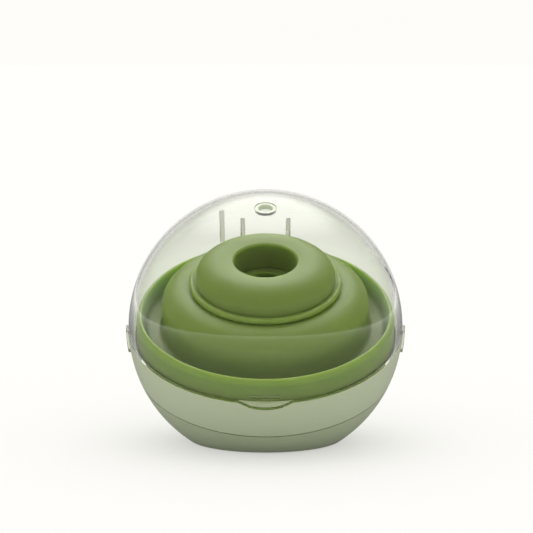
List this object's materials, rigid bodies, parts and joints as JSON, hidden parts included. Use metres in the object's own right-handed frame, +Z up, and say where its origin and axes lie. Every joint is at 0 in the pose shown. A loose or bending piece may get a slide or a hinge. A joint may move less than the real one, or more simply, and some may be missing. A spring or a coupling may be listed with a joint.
{
  "type": "soother steriliser case",
  "caption": "Ball-shaped plastic case for steaming and carrying soothers, with a hinged clear lid, a lift-out tray and a soother cap over a water bowl.",
  "frame": {"origin": "middle of the face the case stands on", "axes": "+Z up, the thumb lip faces -Y, the hinge is at +Y and runs along X; the case axis leans 25 degrees from +Z towards -Y"},
  "size_m": [0.112, 0.1126, 0.1014],
  "materials": {
    "clear_lid": "gloss, see-through",
    "vent": "satin",
    "insert": "gloss",
    "base": "satin",
    "bottom": "satin",
    "bowl": "satin",
    "pin": "matt",
    "foot": "matt"
  },
  "bodies": {
    "base": {"base_shell": "base", "bottom_cover": "bottom", "foot_pad": "foot", "water_bowl": "bowl", "hinge_pin": "pin"},
    "lid": {"lid_dome": "clear_lid", "vent_ring": "vent"},
    "tray": {"soother_tray": "insert"},
    "cap": {"soother_cap": "insert"}
  },
  "joints": [
    {"name": "lid_hinge", "type": "hinge", "parent": "base", "child": "lid", "pos_m": [0, 0.05311, 0.07117], "axis": [-1, 0, 0], "range_deg": [0, 95]},
    {"name": "tray_lift", "type": "slide", "parent": "base", "child": "tray", "axis": [0, -0.4226, 0.9063], "range_m": [0, 0.003]},
    {"name": "cap_lift", "type": "slide", "parent": "tray", "child": "cap", "axis": [0, -0.4226, 0.9063], "range_m": [0, 0.01]}
  ]
}
